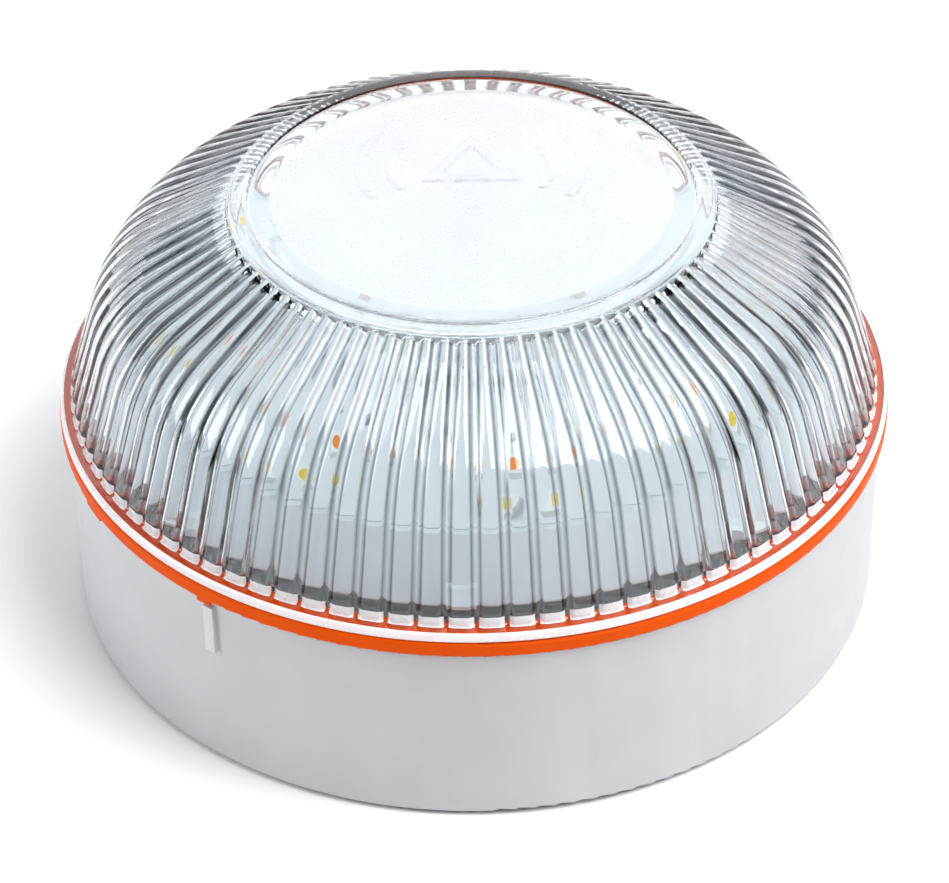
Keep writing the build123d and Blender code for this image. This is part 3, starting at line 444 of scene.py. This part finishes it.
def stroke_distance(x, y):
    """Distance from a point to the pictogram's strokes: a triangle, with two arcs on each side."""
    y -= PICTOGRAM_Y
    gap = max(-y, y / 2 + abs(x) * sqrt(3) / 2) - TRIANGLE_REACH
    nearest = abs(gap)
    reach = hypot(x, y)
    swing = abs(atan2(y, abs(x)))
    for radius in LIGHT_ARCS:
        if swing < ARC_HALF_SPAN:
            away = abs(reach - radius)
        else:
            end = (radius * cos(ARC_HALF_SPAN), radius * sin(ARC_HALF_SPAN))
            away = hypot(abs(x) - end[0], abs(y) - end[1])
        nearest = min(nearest, away)
    return nearest


def window_height(radius, angle):
    """Height of the window: a shallow crown with the pictogram raised on it."""
    crown = CROWN - WINDOW_FALL * (radius / FROST_RADIUS) ** 2
    away = stroke_distance(radius * cos(angle), radius * sin(angle))
    rise = min(max((STROKE + STROKE_SLOPE - away) / (2 * STROKE_SLOPE), 0.0), 1.0)
    return crown + PICTOGRAM_PROUD * rise * rise * (3 - 2 * rise)


# the matt finish is near white, a painted highlight on the flange's edge and the feet of the ribs
POLISHED, FROSTED, MATT_PAINTED_HIGHLIGHT = 0, 1, 2         # the cover's three finishes


def make_cover():
    """The clear cover: rim flange, ribbed dome, polished ring, frosted window, inner face and skirt."""
    points, faces, marks = [], [], {}

    def ring(count, place):
        """A ring of points, counted from the azimuth of the first rib's valley."""
        start = len(points)
        for i in range(count):
            radius, height, angle = place(i)
            points.append((radius * cos(angle), radius * sin(angle), height))
        return start, count

    def join(lower, upper, mark=lambda j: POLISHED):
        """Faces between two rings, where one may have a whole number of times the other's points."""
        (a, na), (b, nb) = lower, upper
        if na >= nb:
            per = na // nb
            for j in range(nb):
                low = [a + (j * per + k) % na for k in range(per + 1)]
                faces.append((*low, b + (j + 1) % nb, b + j))
                marks[len(faces) - 1] = mark(j)
        else:
            per = nb // na
            for j in range(na):
                high = [b + (j * per + k) % nb for k in range(per, -1, -1)]
                faces.append((a + j, a + (j + 1) % na, *high))
                marks[len(faces) - 1] = mark(j)

    first = -pi / 2
    pitch = 2 * pi / RIBS
    per_rib = 2 * len(GROOVE_STEPS)
    columns = RIBS * per_rib

    def column(i, radius):
        """Azimuth of a column of points, from the middle of one groove to the next, and its depth, 0 to 1."""
        rib, step = divmod(i, per_rib)
        half = min(GROOVE_HALF / radius, 0.46 * pitch)
        if step < len(GROOVE_STEPS):
            share = GROOVE_STEPS[step]
            offset = half * share
        elif step == len(GROOVE_STEPS):
            share = 1.0
            offset = pitch / 2
        else:
            share = GROOVE_STEPS[per_rib - step]
            offset = pitch - half * share
        return first + pitch * rib + offset, groove(share)

    def plain(radius, height):
        return ring(columns, lambda i: (radius, height, column(i, radius)[0]))

    rings = []
    # flange: lower edge, pressed into the orange ring
    rings.append(plain(FLANGE_RADIUS - 0.1 * MM, FLANGE_BOTTOM))
    # flange: its matt outer edge, near white as a painted highlight, rounds over to the polished top
    edge_first = len(rings)
    edge_across = 0.45 * MM
    edge_up = 0.85 * MM
    for turn in (0, 15, 30, 45, 60, 75, 90):
        a = radians(turn)
        rings.append(plain(FLANGE_RADIUS - edge_across * (1 - cos(a)), FLANGE_TOP - edge_up * (1 - sin(a))))
    edge_last = len(rings) - 1
    # feet of the ribs: a small fillet off the flange, then nearly upright
    foot_along = wall_along(FOOT, 0)
    foot_r = dome_point(foot_along, 0)[0]
    foot_first = len(rings) + 1
    for out, height, share in ((0.30, 0.0, 0.0), (0.12, 0.03, 0.3), (0.02, 0.12, 0.7), (0.0, 0.3, 1.0),
                               (0.0, 0.9, 1.0)):

        def place(i, out=out, height=height, share=share):
            angle, depth = column(i, foot_r)
            lean = FEET_LEAN * (1 - height * MM / (FOOT - FLANGE_TOP))
            return foot_r + lean + out * MM - GROOVE_DEPTH * share * depth, FLANGE_TOP + height * MM, angle

        rings.append(ring(columns, place))
    # dome with its grooves, which fade out at the window's ring
    end_along = roof_along(ROOF_RIM, 0)
    steps = spread(foot_along, 0, 6)
    foot_last = len(rings)
    steps += spread(0, SHOULDER_ARC, 18)
    steps += spread(SHOULDER_ARC, end_along - GROOVE_RUNOUT, 5)
    steps += [end_along - GROOVE_RUNOUT * s for s in (1.0, 0.7, 0.45, 0.26, 0.12, 0.04, 0)]
    for along in steps:
        ends = quarter((end_along - along) / GROOVE_RUNOUT)

        def place(i, along=along, ends=ends):
            angle, depth = column(i, dome_point(along, 0)[0])
            radius, height, _ = dome_point(along, GROOVE_DEPTH * depth * ends)
            return radius, height, angle

        rings.append(ring(columns, place))
    # polished ring round the window: a bead, a fine groove and a soft fall to the frosted face
    fine = columns // 2

    def smooth(radius, height):
        return ring(fine, lambda i: (radius, height, first + 2 * pi * i / fine))

    rim_z = dome_point(end_along, 0)[1]
    window_z = CROWN - WINDOW_FALL
    outline = [(27.1, rim_z + 0.02 * MM), (26.95, rim_z + 0.12 * MM), (26.75, rim_z + 0.2 * MM),
               (26.4, rim_z + 0.24 * MM), (25.6, window_z + 0.02 * MM), (25.25, window_z + 0.03 * MM),
               (25.1, window_z - 0.04 * MM), (25.0, window_z - 0.12 * MM), (24.9, window_z - 0.04 * MM),
               (24.75, window_z + 0.06 * MM), (24.3, window_z + 0.10 * MM), (23.4, window_z + 0.08 * MM),
               (22.8, window_z + 0.04 * MM), (22.45, window_z + 0.01 * MM)]
    for radius, height in outline:
        rings.append(smooth(radius * MM, height))
    plain_rings = len(rings)
    rows = 78
    for k in range(rows):
        radius = FROST_RADIUS * (1 - k / rows)
        rings.append(ring(fine, lambda i, r=radius: (r, window_height(r, first + 2 * pi * i / fine),
                                                      first + 2 * pi * i / fine)))
    for k in range(len(rings) - 1):
        if k >= plain_rings - 1:
            join(rings[k], rings[k + 1], lambda j: FROSTED)
        # the flange's edge and the ribs' feet take the near-white matt finish, a painted highlight
        elif edge_first <= k < edge_last:
            join(rings[k], rings[k + 1], lambda j: MATT_PAINTED_HIGHLIGHT)
        elif foot_first <= k < foot_last:
            join(rings[k], rings[k + 1], lambda j: MATT_PAINTED_HIGHLIGHT if 0 < j % per_rib < per_rib - 1 else POLISHED)
        else:
            join(rings[k], rings[k + 1])
    centre = len(points)
    points.append((0, 0, window_height(0, 0)))
    last, count = rings[-1]
    for i in range(count):
        faces.append((last + i, last + (i + 1) % count, centre))
        marks[len(faces) - 1] = FROSTED

    # underneath: skirt with its lugs, shelf, smooth inner face
    coarse = 2 * RIBS

    def lathe(radius, height):
        return ring(coarse, lambda i: (radius, height, first + 2 * pi * i / coarse))

    def lug_radius(i):
        angle = -90 + i * 360 / coarse
        nearest = min(abs((angle - lug + 180) % 360 - 180) for lug in LUG_ANGLES)
        return LUG_OUTSIDE if nearest <= LUG_HALF else SKIRT_OUTSIDE

    def lugs(height, gap):
        return ring(coarse, lambda i: (lug_radius(i), height - (gap if lug_radius(i) < LUG_OUTSIDE else 0),
                                       first + 2 * pi * i / coarse))

    under = [lathe(SKIRT_OUTSIDE, FLANGE_BOTTOM), lathe(SKIRT_OUTSIDE, LUG_TOP + 1 * MM),
             lathe(SKIRT_OUTSIDE, LUG_TOP), lugs(LUG_TOP, 0.1 * MM), lugs(SKIRT_BOTTOM + 0.2 * MM, 0),
             ring(coarse, lambda i: (lug_radius(i) - 0.2 * MM, SKIRT_BOTTOM, first + 2 * pi * i / coarse)),
             lathe(SKIRT_INSIDE, SKIRT_BOTTOM), lathe(SKIRT_INSIDE, RING_TOP), lathe(SKIRT_INSIDE, SHELF_TOP)]
    inner_foot = wall_along(SHELF_TOP, COVER_WALL)
    inner_end = roof_along(ROOF_RIM - 1.0 * MM, COVER_WALL)
    inner_steps = [inner_foot, inner_foot + 0.3 * MM] + spread(inner_foot + 3 * MM, 0, 3)
    inner_steps += spread(0, SHOULDER_ARC, 16) + spread(SHOULDER_ARC, inner_end, 4)
    for along in inner_steps:
        radius, height, _ = dome_point(along, COVER_WALL)
        under.append(lathe(radius, height))
    ceiling = dome_point(inner_end, COVER_WALL)[1]
    for share in (1.0, 0.97, 0.8, 0.6, 0.4, 0.2, 0.08):
        under.append(lathe((ROOF_RIM - 1.0 * MM) * share, ceiling))
    join(under[0], rings[0])
    for k in range(len(under) - 1):
        join(under[k + 1], under[k])
    middle = len(points)
    points.append((0, 0, ceiling))
    last, count = under[-1]
    for i in range(count):
        faces.append((last + (i + 1) % count, last + i, middle))

    cover = finish_mesh("cover_clear", points, faces, "lens_unit")
    cover.data.materials.append(clear_material())
    cover.data.materials.append(frosted_material())
    cover.data.materials.append(matt_highlight_material())
    for index, mark in marks.items():
        cover.data.polygons[index].material_index = mark
    cover.data.set_sharp_from_angle(angle=radians(40))
    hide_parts("lens_cover")


# ================================ the scene ======================================================

add_camera()
add_studio()

LOOKS = {
    "housing": moulded("housing_plastic", (0.54, 0.545, 0.565), 0.42, 0.16 * MM, 0.003 * MM),
    "orange": rubber("ring_silicone", (0.80, 0.085, 0.0), 0.42, 0.3 * MM, 0.05),
    # painted shade: the white carrier and board are coloured a darker blue-grey to stand in for the shade
    # under the dome
    "white": moulded("carrier_plastic_painted_shade", (0.70, 0.735, 0.755), 0.5),
    "board": moulded("board_mask_painted_shade", (0.72, 0.75, 0.765), 0.35),
    "package": moulded("lamp_package", (0.86, 0.86, 0.82), 0.4),
    "white_phosphor": rubber("phosphor_yellow", (0.90, 0.62, 0.05), 0.3),
    "amber_phosphor": rubber("phosphor_amber", (0.95, 0.28, 0.02), 0.3),
    "silicone": rubber("lamp_silicone", (0.85, 0.80, 0.45), 0.15),
    "foot": rubber("foot_rubber", (0.030, 0.030, 0.033), 0.6),
    "button": moulded("button_plastic", (0.040, 0.040, 0.044), 0.5, 0.3 * MM, 0.01 * MM),
    "magnet": metal("magnet_nickel", (0.72, 0.71, 0.68), 0.2),
    "steel": metal("zinc_steel", (0.62, 0.63, 0.66), 0.3),
    "spring": metal("spring_steel", (0.66, 0.66, 0.68), 0.22, (1, 1, 1)),
    "acetal": moulded("acetal", (0.80, 0.79, 0.73), 0.45),
    "chip": moulded("chip_compound", (0.025, 0.025, 0.028), 0.55),
    "ceramic": moulded("chip_ceramic", (0.42, 0.29, 0.18), 0.5),
    "ferrite": moulded("ferrite", (0.055, 0.052, 0.052), 0.6),
    "can": metal("capacitor_can", (0.78, 0.79, 0.81), 0.25),
    "battery": moulded("battery_jacket", (0.055, 0.065, 0.085), 0.35),
    "contact": metal("contact_brass", (0.75, 0.62, 0.36), 0.25),
    "foam": rubber("foam", (0.035, 0.035, 0.037), 0.9),
}

slot_of = {row["node"]: row["material_slot"] for row in frame["record"]["subparts"]}
make_cover()
for name, node in frame["nodes"].items():
    look = LOOKS.get(slot_of[name])
    if look is None:                     # the clear cover has its own three materials
        continue
    node.data.materials.clear()
    node.data.materials.append(look.material)

bpy.context.scene.view_settings.view_transform = "Standard"
